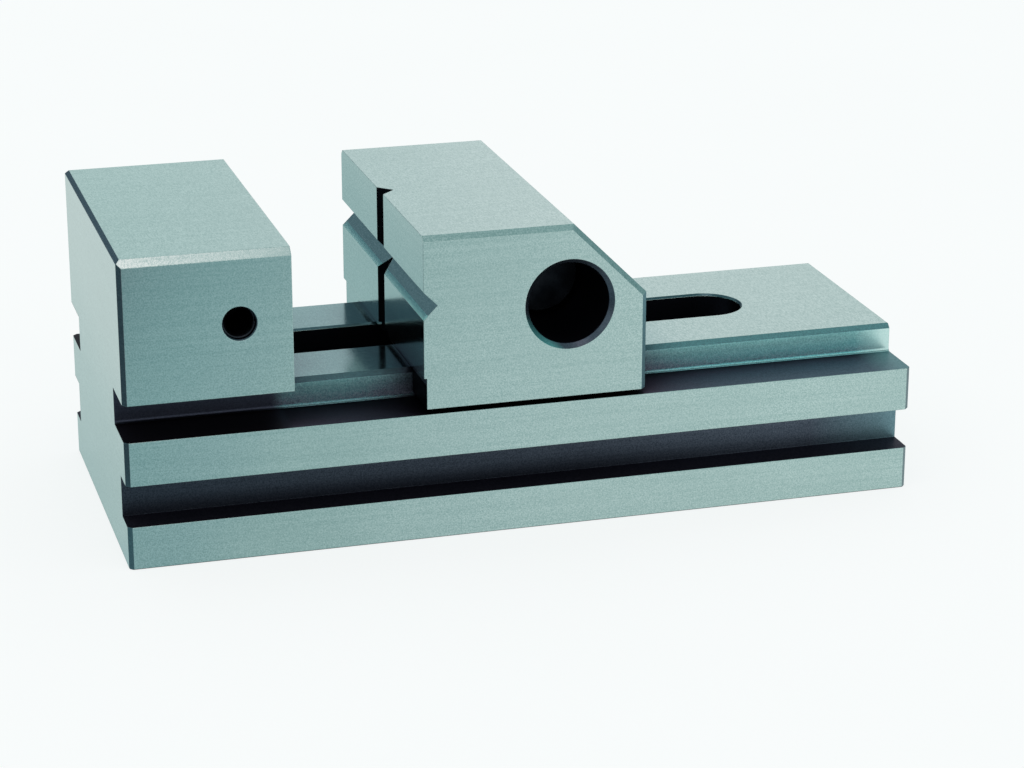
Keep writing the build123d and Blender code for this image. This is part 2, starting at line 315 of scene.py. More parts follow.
# The kinds of node that come up most. A mix has its factor at input 0, numbers at 2 and 3, vectors at 4
# and 5 and colours at 6 and 7, and gives them at outputs 0, 1 and 2
MATH = "ShaderNodeMath"
VECTOR = "ShaderNodeVectorMath"
RANGE = "ShaderNodeMapRange"
MIX = "ShaderNodeMix"
NOISE = "ShaderNodeTexNoise"
SPLIT = "ShaderNodeSeparateXYZ"
JOIN = "ShaderNodeCombineXYZ"


def linear(code):
    """An sRGB hex colour as the linear colour that a shader takes."""
    parts = [int(code[i:i + 2], 16) / 255 for i in (1, 3, 5)]
    return [c / 12.92 if c <= 0.04045 else ((c + 0.055) / 1.055) ** 2.4 for c in parts] + [1]


def add(tree, kind, inputs=(), out=0, **settings):
    """Adds a node with its settings, fills or links its inputs in order or by key, and gives one output.

    With out=None it gives the whole node.
    """
    node = tree.nodes.new(kind)
    for name, value in settings.items():
        setattr(node, name, value)
    pairs = inputs.items() if isinstance(inputs, dict) else enumerate(inputs)
    for key, value in pairs:
        if isinstance(value, bpy.types.NodeSocket):
            tree.links.new(value, node.inputs[key])
        else:
            node.inputs[key].default_value = value
    return node if out is None else node.outputs[out]


def set_stops(ramp, stops):
    """Fills a colour ramp with stops, given as places from 0 to 1 with hex colours."""
    ramp.interpolation = "EASE"
    while len(ramp.elements) < len(stops):
        ramp.elements.new(0.5)
    for element, (place, code) in zip(ramp.elements, stops):
        element.position = place
        element.color = linear(code)


def new_material(name):
    """An empty node material, with the tree that its finish is built in."""
    material = bpy.data.materials.new(name)
    material.use_nodes = True
    material.node_tree.nodes.clear()
    return material, material.node_tree


def millimetres(tree):
    """The place on the piece at rest, in millimetres."""
    place = add(tree, "ShaderNodeTexCoord", out="Object")
    return add(tree, VECTOR, {0: place, "Scale": 1 / mm}, operation="SCALE")


def inside_box(tree, folded, low, high):
    """1 inside a box given by its corners in metres, 0 outside. Y is folded, so both sides count."""
    centre = [(a + b) / 2 / mm for a, b in zip(low, high)]
    half = [(b - a) / 2 / mm for a, b in zip(low, high)]
    offset = add(tree, VECTOR, [folded, centre], operation="SUBTRACT")
    away = add(tree, VECTOR, [offset], operation="ABSOLUTE")
    room = add(tree, VECTOR, [half, away], operation="SUBTRACT")
    x, y, z = add(tree, SPLIT, [room], out=None).outputs
    least = add(tree, MATH, [add(tree, MATH, [x, y], operation="MINIMUM"), z], operation="MINIMUM")
    return add(tree, MATH, [least, 0.0], operation="GREATER_THAN")


def inside_cylinder(tree, place, point, axis, radius):
    """1 within a radius of a line, 0 outside."""
    offset = add(tree, VECTOR, [place, point / mm], operation="SUBTRACT")
    across = add(tree, VECTOR, [offset, axis], operation="CROSS_PRODUCT")
    distance = add(tree, VECTOR, [across], out="Value", operation="LENGTH")
    return add(tree, MATH, [distance, radius / mm], operation="LESS_THAN")


def largest(tree, masks):
    """1 where any of the masks is 1."""
    whole = masks[0]
    for mask in masks[1:]:
        whole = add(tree, MATH, [whole, mask], operation="MAXIMUM")
    return whole


def overlap(tree, masks):
    """1 where all of the masks are 1."""
    whole = masks[0]
    for mask in masks[1:]:
        whole = add(tree, MATH, [whole, mask], operation="MULTIPLY")
    return whole


def finish_shader(tree, colour, roughness, height, height_size, edge_radius):
    """Bare metal with its bump and its softly broken edges. A dull skin mirrors less at a low angle."""
    edge = add(tree, "ShaderNodeBevel", {"Radius": edge_radius}, samples=edge_samples)
    bump = add(tree, "ShaderNodeBump", {
        "Height": height,
        "Distance": height_size,
        "Strength": 1.0,
        "Normal": edge,
    })
    glance = add(tree, RANGE, [roughness, clean_roughness, dull_roughness, 1.0, dull_glance])
    shader = add(tree, "ShaderNodeBsdfPrincipled", {
        "Base Color": colour,
        "Specular Tint": glance,
        "Roughness": roughness,
        "Normal": bump,
        "Metallic": 1.0,
    })
    add(tree, "ShaderNodeOutputMaterial", {"Surface": shader}, out=None)


def ground_steel(name, regions):
    """Hardened tool steel, surface-ground on its flats.

    The flats are satin with a fine even grain and faint wheel marks along the stroke, and at a low angle
    they mirror what stands on them. Where they see little open sky, level faces are painted darker as
    shade. The regions of the piece, some milled and some with painted light and shade, are laid over this.
    Each layer has a mask, the two colours between which the pattern runs, and a roughness.
    """
    material, tree = new_material(name)
    place = millimetres(tree)
    flipped = add(tree, VECTOR, [place, (1, -1, 1)], operation="MULTIPLY")
    folded = add(tree, VECTOR, [place, flipped], operation="MAXIMUM")
    direction = add(tree, "ShaderNodeTexCoord", out="Normal")
    facing = add(tree, VECTOR, [direction], operation="ABSOLUTE")
    facing_end, _, facing_up = add(tree, SPLIT, [facing], out=None).outputs
    level = add(tree, MATH, [facing_up, square_on], operation="GREATER_THAN")

    # Wheel marks run along the bed, but across the ends and the jaw faces
    on_end = add(tree, MATH, [facing_end, 0.5], operation="GREATER_THAN")
    lengthways = (strokes_along, strokes_across, strokes_across)
    crossways = (strokes_across, strokes_along, strokes_across)
    stretch = add(tree, MIX, {0: on_end, 4: lengthways, 5: crossways}, out=1, data_type="VECTOR")
    drawn_out = add(tree, VECTOR, [place, stretch], operation="MULTIPLY")
    strokes = add(tree, NOISE, {"Vector": drawn_out, "Scale": 1.0, "Detail": 3.0, "Roughness": 0.6})

    coarse = add(tree, VECTOR, [place, grains], operation="MULTIPLY")
    grain = add(tree, NOISE, {"Vector": coarse, "Scale": 1.0, "Detail": 2.0, "Roughness": 0.7})
    cloud = add(tree, NOISE, {"Vector": place, "Scale": clouds, "Detail": 2.0})
    mixed = add(tree, MIX, {0: stroke_share, 2: grain, 3: strokes})
    tone = add(tree, RANGE, [mixed, pattern_low, pattern_high, 0.0, 1.0])
    worked = add(tree, RANGE, [cloud, noise_low, noise_high, 0.0, worked_share])

    # Painted shade: level faces are darkened in corners, where they see little open sky
    open_sky = add(
        tree, "ShaderNodeAmbientOcclusion", {"Distance": sky_reach},
        out="AO", samples=sky_samples,
    )
    corner_shade = overlap(tree, [add(tree, RANGE, [open_sky, corner_shade_from, corner_shade_full, 0.0, 1.0]), level])
    corner_shade_pool = overlap(tree, [add(tree, RANGE, [open_sky, pool_shade_from, pool_shade_full, 0.0, 1.0]), level])

    satin = add(tree, RANGE, [tone, 0.0, 1.0, *ground_roughness])
    layers = [
        (worked, "#a3bab8", "#a3bab8", satin),
        (corner_shade, "#54858c", "#659299", satin),
        (corner_shade_pool, "#4f5d69", "#5d6b77", satin),
    ]
    special, edge_radius = regions(tree, place, folded, facing, open_sky)
    colour = add(tree, MIX, {0: tone, 6: linear("#97b1af"), 7: linear("#c3d5d3")}, out=2, data_type="RGBA")
    rough = satin
    for mask, dark, light, layer_rough in layers + special:
        patterned = add(tree, MIX, {0: tone, 6: linear(dark), 7: linear(light)}, out=2, data_type="RGBA")
        colour = add(tree, MIX, {0: mask, 6: colour, 7: patterned}, out=2, data_type="RGBA")
        rough = add(tree, MIX, {0: mask, 2: rough, 3: layer_rough})
    finish_shader(tree, colour, rough, tone, ground_relief, edge_radius)
    return material


def body_regions(tree, place, folded, facing, open_sky):
    """The milled rail, the dark grooves, the chamfers and the hollows of the vise body, with painted light
    and shade.
    """
    x, y, z = add(tree, SPLIT, [folded], out=None).outputs
    facing_end, facing_side, facing_up = add(tree, SPLIT, [facing], out=None).outputs
    level = add(tree, MATH, [facing_up, square_on], operation="GREATER_THAN")
    on_side = add(tree, MATH, [facing_side, square_on], operation="GREATER_THAN")
    off_side = add(tree, MATH, [facing_side, square_on], operation="LESS_THAN")
    on_end = add(tree, MATH, [facing_end, halfway - halfway_play], operation="GREATER_THAN")
    near_side = add(tree, MATH, [add(tree, SPLIT, [place], out=1), 0.0], operation="LESS_THAN")
    near_slot = add(tree, MATH, [y, pocket_half / mm], operation="LESS_THAN")
    on_bed = add(tree, MATH, [z, bed_top / mm, bed_reach / mm], operation="COMPARE")
    low = add(tree, MATH, [z, (bed_top + margin) / mm], operation="LESS_THAN")

    measures = {"sky": open_sky, "x": x, "z": z}
    tones = {}
    for name, (measure, none, full) in body_tones.items():
        tones[name] = add(tree, RANGE, [measures[measure], none, full, 0.0, 1.0])

    # The recess of the rail above the upper flange, and the clamp groove below it
    recess = inside_box(
        tree, folded,
        (2 * cad_low.x, rail_half - margin, upper_groove[0] - margin),
        (2 * cad_high.x, flank - margin, upper_groove[1] + margin),
    )
    rail_foot_painted_light = overlap(tree, [recess, on_side, tones["rail_foot_painted_light"]])
    rounded = add(tree, MATH, [facing_up, 0.5, rounded_play], operation="COMPARE")
    root = overlap(tree, [recess, rounded])
    ledge = overlap(tree, [recess, level])
    groove = inside_box(
        tree, folded,
        (2 * cad_low.x, groove_wall - margin, lower_groove[0] - margin),
        (2 * cad_high.x, flank - margin, lower_groove[1] + margin),
    )
    groove_wall_face = overlap(tree, [groove, on_side])

    halfway_side = add(tree, MATH, [facing_side, halfway, halfway_play], operation="COMPARE")
    not_up = add(tree, MATH, [facing_up, halfway_play], operation="LESS_THAN")
    upright_edges = overlap(tree, [halfway_side, not_up])
    tilted_up = add(tree, MATH, [facing_up, halfway, halfway_play], operation="COMPARE")
    low_edges = overlap(tree, [tilted_up, low])
    end_edges = overlap(tree, [tilted_up, on_end])

    hollow = inside_box(
        tree, folded,
        (cad_low.x + end_inset, -mm, base_inset),
        (cad_high.x - end_inset, pocket_half + margin, bed_top - slot_mouth - margin),
    )
    reach = stop_hole_radius + margin
    hole = inside_box(
        tree, folded,
        (stop_hole.x - reach, pocket_half, stop_hole.z - reach),
        (stop_hole.x + reach, flank - stop_hole_mouth + margin, stop_hole.z + reach),
    )
    reach += stop_hole_mouth
    rim = inside_box(
        tree, folded,
        (stop_hole.x - reach, pocket_half, stop_hole.z - reach),
        (stop_hole.x + reach, flank + margin, stop_hole.z + reach),
    )
    layers = [
        # Painted shade on the bed's near half, where the jaws shut it in
        (overlap(tree, [level, near_side, on_bed, tones["deep"]]), "#434b5c", "#4b5566", 0.15),

        # The rail's side, milled and teal, with painted light at its foot and free end, and painted grey
        # shade where it is shut in
        (recess, "#76b0b2", "#a6dedd", 0.45),
        (rail_foot_painted_light, "#6fcfd1", "#9ceff0", 0.65),
        (overlap(tree, [recess, tones["shaded"]]), "#55636f", "#8495a0", 0.4),
        (overlap(tree, [rail_foot_painted_light, tones["shaded"]]), "#686e82", "#a1a5b9", 0.5),
        (overlap(tree, [recess, tones["last_end_painted_light"]]), "#c0dedc", "#d0e8e6", 0.3),

        # The ledge along the rail, dark with a violet cast, with painted shade that deepens towards the
        # jaws and painted light at the free end
        (ledge, "#5b6878", "#738392", 0.4),
        (overlap(tree, [ledge, tones["ledge_half_shaded"]]), "#4b3b4d", "#594859", 0.4),
        (overlap(tree, [ledge, tones["ledge_shaded"]]), "#17131d", "#1f1b26", 0.4),
        (overlap(tree, [ledge, tones["last_end_painted_light"]]), "#6d8f96", "#7fa2a8", 0.4),

        # Painted shade: the recess near black where the jaws cover it and at its root where they stand
        # close, and darker under the fixed jaw
        (overlap(tree, [recess, tones["buried_painted_shade"]]), *black_shade),
        (overlap(tree, [root, tones["deep"]]), *black_shade),
        (overlap(tree, [recess, tones["under_jaw_painted_shade"]]), "#393c4a", "#4a4e5d", 0.45),
        (overlap(tree, [ledge, tones["under_jaw_painted_shade"]]), "#2c2831", "#353139", 0.45),

        # The clamp groove, dark, with painted shade at its foot and head and painted light towards the free
        # end
        (groove, "#2e353f", "#4c525e", 0.45),
        (overlap(tree, [groove, level]), "#34333f", "#504d5a", 0.45),
        (overlap(tree, [groove_wall_face, tones["groove_foot_painted_shade"]]), "#232833", "#3b3f49", 0.45),
        (overlap(tree, [groove_wall_face, tones["right_part_painted_light"]]), "#3d4551", "#616977", 0.45),
        (overlap(tree, [groove_wall_face, tones["groove_head_painted_shade"]]), "#2b323c", "#454b57", 0.45),
        (overlap(tree, [groove_wall_face, tones["free_end_painted_light"]]), "#5e7d86", "#7d9ba5", 0.45),

        # Chamfers, painted darker than the flats for what they mirror, darker along the slot, and painted
        # shade where shut in
        (largest(tree, [upright_edges, low_edges, end_edges]), "#66898e", "#79a7ab", 0.2),
        (end_edges, "#63707b", "#758994", 0.2),
        (upright_edges, "#4b6068", "#5a757b", 0.2),
        (overlap(tree, [low_edges, tones["half_shaded"]]), "#2f3d47", "#3d4e58", 0.25),
        (overlap(tree, [low_edges, tones["edge_buried_painted_shade"]]), *black_shade),
        (overlap(tree, [low_edges, near_slot]), "#3a555c", "#48656c", 0.25),

        # The mouth of the stop hole, painted dark over the glint it would mirror, and the hollows, painted
        # near black as shade
        (overlap(tree, [rim, off_side]), "#31434d", "#42565f", 0.35),
        (largest(tree, [hollow, hole]), *black_shade),
    ]
    return layers, edge_softness


def jaw_regions(tree, place, folded, facing, open_sky):
    """The moving jaw's V-grooves, clamping face's foot, cross bore and screw passage, with painted light
    and shade.
    """
    x, y, z = add(tree, SPLIT, [folded], out=None).outputs
    facing_end, facing_side, _ = add(tree, SPLIT, [facing], out=None).outputs
    front = add(tree, MATH, [x, 0.0], operation="LESS_THAN")
    rear = add(tree, MATH, [x, 0.0], operation="GREATER_THAN")

    # The lower lip of the level V-groove, the walls of the upright one and the rear upright edges
    sloped = add(tree, MATH, [facing_end, halfway, halfway_play], operation="COMPARE")
    near_lip = add(tree, MATH, [z, (v_groove_lip + v_lip_width) / mm], operation="LESS_THAN")
    flat_side = add(tree, MATH, [facing_side, halfway_play], operation="LESS_THAN")
    lip = overlap(tree, [sloped, near_lip, flat_side])
    edge_radius = add(tree, MIX, {0: lip, 2: edge_softness, 3: 2 * v_lip_width})
    upright = overlap(tree, [sloped, add(tree, MATH, [facing_side, 0.5], operation="GREATER_THAN")])

    # The clamping face at its foot, and below the bed the edges of its skirts, both on the near side
    near_side = add(tree, RANGE, [add(tree, SPLIT, [place], out=1), *near_half, 1.0, 0.0])
    end_on = add(tree, MATH, [facing_end, square_on], operation="GREATER_THAN")
    near_face = overlap(tree, [end_on, front, near_side])
    foot = add(tree, RANGE, [z, bed_top / mm, bed_top / mm + foot_shade_height, 1.0, 0.0])
    skirt = add(tree, MATH, [z, (bed_top + margin) / mm], operation="LESS_THAN")

    # The cross bore and its chamfer, and the counterbore with the screw's passage
    mouth = inside_cylinder(tree, place, barrel_centre, (0, 1, 0), bore_radius + bore_chamfer + margin)
    mouth = overlap(tree, [mouth, add(tree, MATH, [facing_side, square_on], operation="LESS_THAN")])
    offset = add(tree, VECTOR, [place, barrel_centre / mm], operation="SUBTRACT")
    lower_left = add(tree, VECTOR, [offset, down_left], out="Value", operation="DOT_PRODUCT")
    lower_left = add(tree, RANGE, [lower_left, *rim_highlight, 0.0, 1.0])
    bore = inside_cylinder(tree, place, barrel_centre, (0, 1, 0), bore_radius + margin)
    deep = add(tree, MATH, [y, (flank - bore_chamfer + margin) / mm], operation="LESS_THAN")
    bore = overlap(tree, [bore, deep])
    passage = inside_cylinder(tree, place, barrel_centre, screw_axis, counterbore_radius + margin)
    along = add(tree, VECTOR, [offset, screw_axis], out="Value", operation="DOT_PRODUCT")
    sunk_from = (counterbore_chamfer + margin - slope_distance) / mm
    sunk = add(tree, MATH, [along, sunk_from], operation="GREATER_THAN")
    passage = overlap(tree, [passage, sunk])
    # Painted shade at the foot of the clamping face, on the skirts' edges and on the front walls of the
    # upright V-groove; painted light on its rear edges; the V's lower lip light teal, with a wider
    # rounding; the bore's chamfer painted dark, with a painted highlight down to the left; the bore and the
    # passage dark
    layers = [
        (overlap(tree, [near_face, foot]), "#4b4a5a", "#5f5e70", 0.2),
        (overlap(tree, [near_face, skirt]), *black_shade),
        (overlap(tree, [upright, front]), *black_shade),
        (overlap(tree, [upright, rear]), "#799ca5", "#8aabb4", 0.5),
        (lip, "#86bcbc", "#a6d8d7", 0.3),
        (mouth, "#434d58", "#525d69", 0.35),
        (overlap(tree, [mouth, lower_left]), "#5a9c9d", "#6caeae", 0.35),
        (largest(tree, [bore, passage]), "#20222c", "#282b36", 0.45),
    ]
    return layers, edge_radius


def turning_marks(tree, place, centre, axis):
    """Marks of a lathe tool round an axis: rings along the diameter and circles on the faces."""
    offset = add(tree, VECTOR, [place, centre / mm], operation="SUBTRACT")
    along = add(tree, VECTOR, [offset, axis], out="Value", operation="DOT_PRODUCT")
    across = add(tree, VECTOR, [offset, axis], operation="CROSS_PRODUCT")
    radius = add(tree, VECTOR, [across], out="Value", operation="LENGTH")
    rings = add(tree, JOIN, [along, radius])
    return add(tree, NOISE, {"Vector": rings, "Scale": lathe_rings, "Detail": 2.0})


def blackened_steel(name, centre, axis):
    """Alloy steel with black oxide, lightly oiled: blue-black, with soft satin highlights."""
    material, tree = new_material(name)
    place = millimetres(tree)
    marks = turning_marks(tree, place, centre, axis)
    bloom = add(tree, NOISE, {"Vector": place, "Scale": oxide_bloom, "Detail": 3.0})
    patch = add(tree, RANGE, [bloom, noise_low, noise_high, 0.0, 1.0])
    colour = add(tree, MIX, {0: patch, 6: linear("#23262c"), 7: linear("#363a41")}, out=2, data_type="RGBA")
    uneven = add(tree, MATH, [marks, bloom], operation="ADD")
    roughness = add(tree, RANGE, [uneven, 2 * noise_low, 2 * noise_high, *oxide_roughness])
    finish_shader(tree, colour, roughness, marks, turned_relief, turned_edge)
    return material


def turned_steel(name):
    """Hardened steel straight from the lathe: bright satin with fine rings round the screw."""
    material, tree = new_material(name)
    marks = turning_marks(tree, millimetres(tree), barrel_centre, screw_axis)
    ridge = add(tree, RANGE, [marks, noise_low, noise_high, 0.0, 1.0])
    colour = add(tree, MIX, {0: ridge, 6: linear("#8d989b"), 7: linear("#aab5b6")}, out=2, data_type="RGBA")
    roughness = add(tree, RANGE, [marks, noise_low, noise_high, *turned_roughness])
    finish_shader(tree, colour, roughness, marks, turned_relief, turned_edge)
    return material


def spring_steel(name):
    """Drawn and tempered spring wire: satin mid grey, lighter here and there."""
    material, tree = new_material(name)
    place = millimetres(tree)
    temper = add(tree, NOISE, {"Vector": place, "Scale": wire_temper, "Detail": 3.0})
    cast = add(tree, RANGE, [temper, cast_low, cast_high, 0.0, 1.0])
    colour = add(tree, MIX, {0: cast, 6: linear("#6c7177"), 7: linear("#858a8d")}, out=2, data_type="RGBA")
    grain = add(tree, NOISE, {"Vector": place, "Scale": wire_grain, "Detail": 2.0})
    roughness = add(tree, RANGE, [grain, noise_low, noise_high, *wire_roughness])
    finish_shader(tree, colour, roughness, grain, wire_relief, wire_edge)
    return material


def coil_tree():
    """Geometry nodes that wind a section into a coil round Z, for the spring and for both threads."""
    tree = bpy.data.node_groups.new("wound_section", "GeometryNodeTree")
    wanted = {
        "Coil Radius": "NodeSocketFloat",
        "Turns": "NodeSocketFloat",
        "Closed Turns": "NodeSocketFloat",
        "Closed Pitch": "NodeSocketFloat",
        "Height": "NodeSocketFloat",
        "Points": "NodeSocketInt",
        "Section Radius": "NodeSocketFloat",
        "Section Sides": "NodeSocketInt",
        "Section Turn": "NodeSocketFloat",
        "Low Cut": "NodeSocketFloat",
        "High Cut": "NodeSocketFloat",
        "Material": "NodeSocketMaterial",
    }
    for name, kind in wanted.items():
        tree.interface.new_socket(name, in_out="INPUT", socket_type=kind)
    tree.interface.new_socket("Geometry", in_out="OUTPUT", socket_type="NodeSocketGeometry")
    given = add(tree, "NodeGroupInput", out=None).outputs

    # The centre line: an angle and a height for each point, with closed turns at both ends
    line = add(tree, "GeometryNodeCurvePrimitiveLine", {"End": (0, 0, 1)})
    even = add(tree, "GeometryNodeResampleCurve", {"Curve": line, "Count": given["Points"]})
    share = add(tree, "GeometryNodeSplineParameter", out="Factor")
    turn = add(tree, MATH, [share, given["Turns"]], operation="MULTIPLY")
    angle = add(tree, MATH, [turn, 2 * math.pi], operation="MULTIPLY")
    closed = add(tree, MATH, [turn, given["Closed Pitch"]], operation="MULTIPLY")
    last = add(tree, MATH, [given["Turns"], given["Closed Turns"]], operation="SUBTRACT")
    whole = add(tree, MATH, [given["Turns"], given["Closed Pitch"]], operation="MULTIPLY")
    spare = add(tree, MATH, [given["Height"], whole], operation="SUBTRACT")
    opened = add(tree, RANGE, [turn, given["Closed Turns"], last, 0.0, spare])
    cosine = add(tree, MATH, [angle], operation="COSINE")
    sine = add(tree, MATH, [angle], operation="SINE")
    x = add(tree, MATH, [cosine, given["Coil Radius"]], operation="MULTIPLY")
    y = add(tree, MATH, [sine, given["Coil Radius"]], operation="MULTIPLY")
    z = add(tree, MATH, [closed, opened], operation="ADD")
    spot = add(tree, JOIN, [x, y, z])
    centre_line = add(tree, "GeometryNodeSetPosition", {"Geometry": even, "Position": spot})
    upright = add(tree, "GeometryNodeSetCurveNormal", {"Curve": centre_line}, mode="Z_UP")

    # The section, turned about the centre line, swept and cut flat at both ends
    circle = add(tree, "GeometryNodeCurvePrimitiveCircle", {
        "Resolution": given["Section Sides"],
        "Radius": given["Section Radius"],
    }, out="Curve", mode="RADIUS")
    spin = add(tree, JOIN, {2: given["Section Turn"]})
    section = add(tree, "GeometryNodeTransform", {"Geometry": circle, "Rotation": spin})
    swept = add(tree, "GeometryNodeCurveToMesh", {
        "Curve": upright,
        "Profile Curve": section,
        "Fill Caps": True,
    })
    spot = add(tree, "GeometryNodeInputPosition")
    x, y, z = add(tree, SPLIT, [spot], out=None).outputs
    lifted = add(tree, MATH, [z, given["Low Cut"]], operation="MAXIMUM")
    held = add(tree, MATH, [lifted, given["High Cut"]], operation="MINIMUM")
    kept = add(tree, JOIN, [x, y, held])
    cut = add(tree, "GeometryNodeSetPosition", {"Geometry": swept, "Position": kept})
    smooth = add(tree, "GeometryNodeSetShadeSmooth", {"Geometry": cut})
    real = add(tree, "GeometryNodeRealizeInstances", {"Geometry": smooth})
    painted = add(tree, "GeometryNodeSetMaterial", {"Geometry": real, "Material": given["Material"]})
    add(tree, "NodeGroupOutput", {"Geometry": painted}, out=None)
    return tree


def rib_tree():
    """Geometry nodes that stand small ribs round Z, for the knurl on the screw head."""
    tree = bpy.data.node_groups.new("ribs_round_a_head", "GeometryNodeTree")
    wanted = {
        "Count": "NodeSocketInt",
        "Radius": "NodeSocketFloat",
        "Rib Radius": "NodeSocketFloat",
        "Length": "NodeSocketFloat",
        "Bottom": "NodeSocketFloat",
        "Material": "NodeSocketMaterial",
    }
    for name, kind in wanted.items():
        tree.interface.new_socket(name, in_out="INPUT", socket_type=kind)
    tree.interface.new_socket("Geometry", in_out="OUTPUT", socket_type="NodeSocketGeometry")
    given = add(tree, "NodeGroupInput", out=None).outputs
    ring = add(tree, "GeometryNodeMeshCircle", {"Vertices": given["Count"], "Radius": given["Radius"]})
    rib = add(tree, "GeometryNodeMeshCylinder", {
        "Vertices": 4,
        "Radius": given["Rib Radius"],
        "Depth": given["Length"],
    }, out="Mesh")
    place = add(tree, "GeometryNodeInputPosition")
    outward = add(tree, "FunctionNodeAlignRotationToVector", {"Vector": place}, axis="X")
    ribs = add(tree, "GeometryNodeInstanceOnPoints", {"Points": ring, "Instance": rib, "Rotation": outward})
    real = add(tree, "GeometryNodeRealizeInstances", {"Geometry": ribs})
    middle = add(tree, MATH, [given["Length"], 0.5], operation="MULTIPLY")
    rise = add(tree, MATH, [given["Bottom"], middle], operation="ADD")
    shift = add(tree, JOIN, {2: rise})
    seated = add(tree, "GeometryNodeTransform", {"Geometry": real, "Translation": shift})
    painted = add(tree, "GeometryNodeSetMaterial", {"Geometry": seated, "Material": given["Material"]})
    add(tree, "NodeGroupOutput", {"Geometry": painted}, out=None)
    return tree


def grown_mesh(name, tree, values):
    """The plain mesh that a node tree makes from the values of its named inputs."""
    seed = bpy.data.objects.new(name, bpy.data.meshes.new(name))
    bpy.context.scene.collection.objects.link(seed)
    modifier = seed.modifiers.new(name, "NODES")
    modifier.node_group = tree
    for item in tree.interface.items_tree:
        if item.in_out == "INPUT" and item.name in values:
            modifier[item.identifier] = values[item.name]
    evaluated = seed.evaluated_get(bpy.context.evaluated_depsgraph_get())
    mesh = bpy.data.meshes.new_from_object(evaluated)
    bpy.data.objects.remove(seed)
    return mesh


def show(name, mesh, body):
    """Puts a finished mesh on show as a piece that rides on a body."""
    piece = bpy.data.objects.new(name, mesh)
    bpy.context.scene.collection.objects.link(piece)
    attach(piece, body)
    return piece


def screw_frame():
    """Turns local Z into the clamp screw's axis, from the barrel towards the nut."""
    turn = screw_axis.to_track_quat("Z", "Y").to_matrix().to_4x4()
    return Matrix.Translation(barrel_centre) @ turn


def make_stop_hole_thread(coil, material):
    """The ridges of the M4 thread inside the tapped hole."""
    turns = stop_thread_length / stop_pitch
    mesh = grown_mesh("stop_hole_thread", coil, {
        "Coil Radius": stop_hole_radius,
        "Turns": turns,
        "Closed Turns": 0.0,
        "Closed Pitch": 0.0,
        "Height": stop_thread_length,
        "Points": int(turns * stop_thread_points),
        "Section Radius": stop_ridge,
        "Section Sides": 3,
        "Section Turn": inward_section,
        "Low Cut": 0.0,
        "High Cut": uncut,
        "Material": material,
    })
    start = Matrix.Translation(stop_hole + Vector((0, stop_thread_start, 0)))
    mesh.transform(start @ Matrix.Rotation(-math.pi / 2, 4, "X"))
    return show("stop_hole_thread", mesh, "vise_body")


def screw_ring(distance, radius, hexagonal=False):
    """Points round the screw at a distance along it: a circle, or a hexagon of that inner radius."""
    points = []
    for step in range(screw_sides):
        angle = 2 * math.pi * step / screw_sides
        flat = math.pi / 6 - (angle + math.pi / 6) % (math.pi / 3)
        reach = radius / math.cos(flat) if hexagonal else radius
        points.append((reach * math.cos(angle), reach * math.sin(angle), distance))
    return points


def screw_core():
    """The turned form of the clamp screw, with its hexagon socket, as one closed shell."""
    root = screw_radius - thread_depth
    rings = [
        screw_ring(head_top + hex_depth, hex_apothem, True),
        screw_ring(head_top + hex_mouth, hex_apothem, True),
        screw_ring(head_top, hex_apothem / math.cos(math.pi / 6) + hex_mouth),
        screw_ring(head_top, head_core - head_rounding),
        screw_ring(head_top + head_rounding / 3, head_core - head_rounding / 3),
        screw_ring(head_top + head_rounding, head_core),
        screw_ring(head_bottom - head_rounding / 3, head_core),
        screw_ring(head_bottom, head_core - head_rounding / 3),
        screw_ring(head_bottom, screw_radius + neck_fillet),
        screw_ring(head_bottom + neck_fillet, screw_radius),
        screw_ring(thread_start, screw_radius),
        screw_ring(thread_start + thread_depth, root),
        screw_ring(groove_start, root),
        screw_ring(groove_start, groove_radius),
        screw_ring(groove_end, groove_radius),
        screw_ring(groove_end, root),
        screw_ring(screw_tip - tip_chamfer, root),
        screw_ring(screw_tip, root - tip_chamfer),
    ]
    shell = bmesh.new()
    loops = [[shell.verts.new(point) for point in points] for points in rings]
    for first, second in zip(loops, loops[1:]):
        for step in range(screw_sides):
            after = (step + 1) % screw_sides
            shell.faces.new((first[step], first[after], second[after], second[step]))
    drill_point = shell.verts.new((0, 0, head_top + hex_depth + drill_point_depth))
    tip = shell.verts.new((0, 0, screw_tip))
    for loop, middle in ((loops[0], drill_point), (loops[-1], tip)):
        for step in range(screw_sides):
            shell.faces.new((loop[step], loop[(step + 1) % screw_sides], middle))
    bmesh.ops.recalc_face_normals(shell, faces=shell.faces)
    mesh = bpy.data.meshes.new("screw_core")
    shell.to_mesh(mesh)
    shell.free()
    mesh.shade_smooth()
    mesh.set_sharp_from_angle(angle=math.radians(screw_sharp_from))
    return mesh


def thread_ridge(coil, start, end, material):
    """The ridge of the screw's thread between two distances along it, cut flat at both ends."""
    turns = (end - start) / screw_pitch + 1
    mesh = grown_mesh("thread_ridge", coil, {
        "Coil Radius": screw_radius - thread_ridge_reach,
        "Turns": turns,
        "Closed Turns": 0.0,
        "Closed Pitch": 0.0,
        "Height": turns * screw_pitch,
        "Points": int(turns * screw_sides),
        "Section Radius": thread_ridge_reach,
        "Section Sides": 3,
        "Section Turn": outward_section,
        "Low Cut": screw_pitch / 2,
        "High Cut": screw_pitch / 2 + end - start,
        "Material": material,
    })
    mesh.transform(Matrix.Translation((0, 0, start - screw_pitch / 2)))
    return mesh


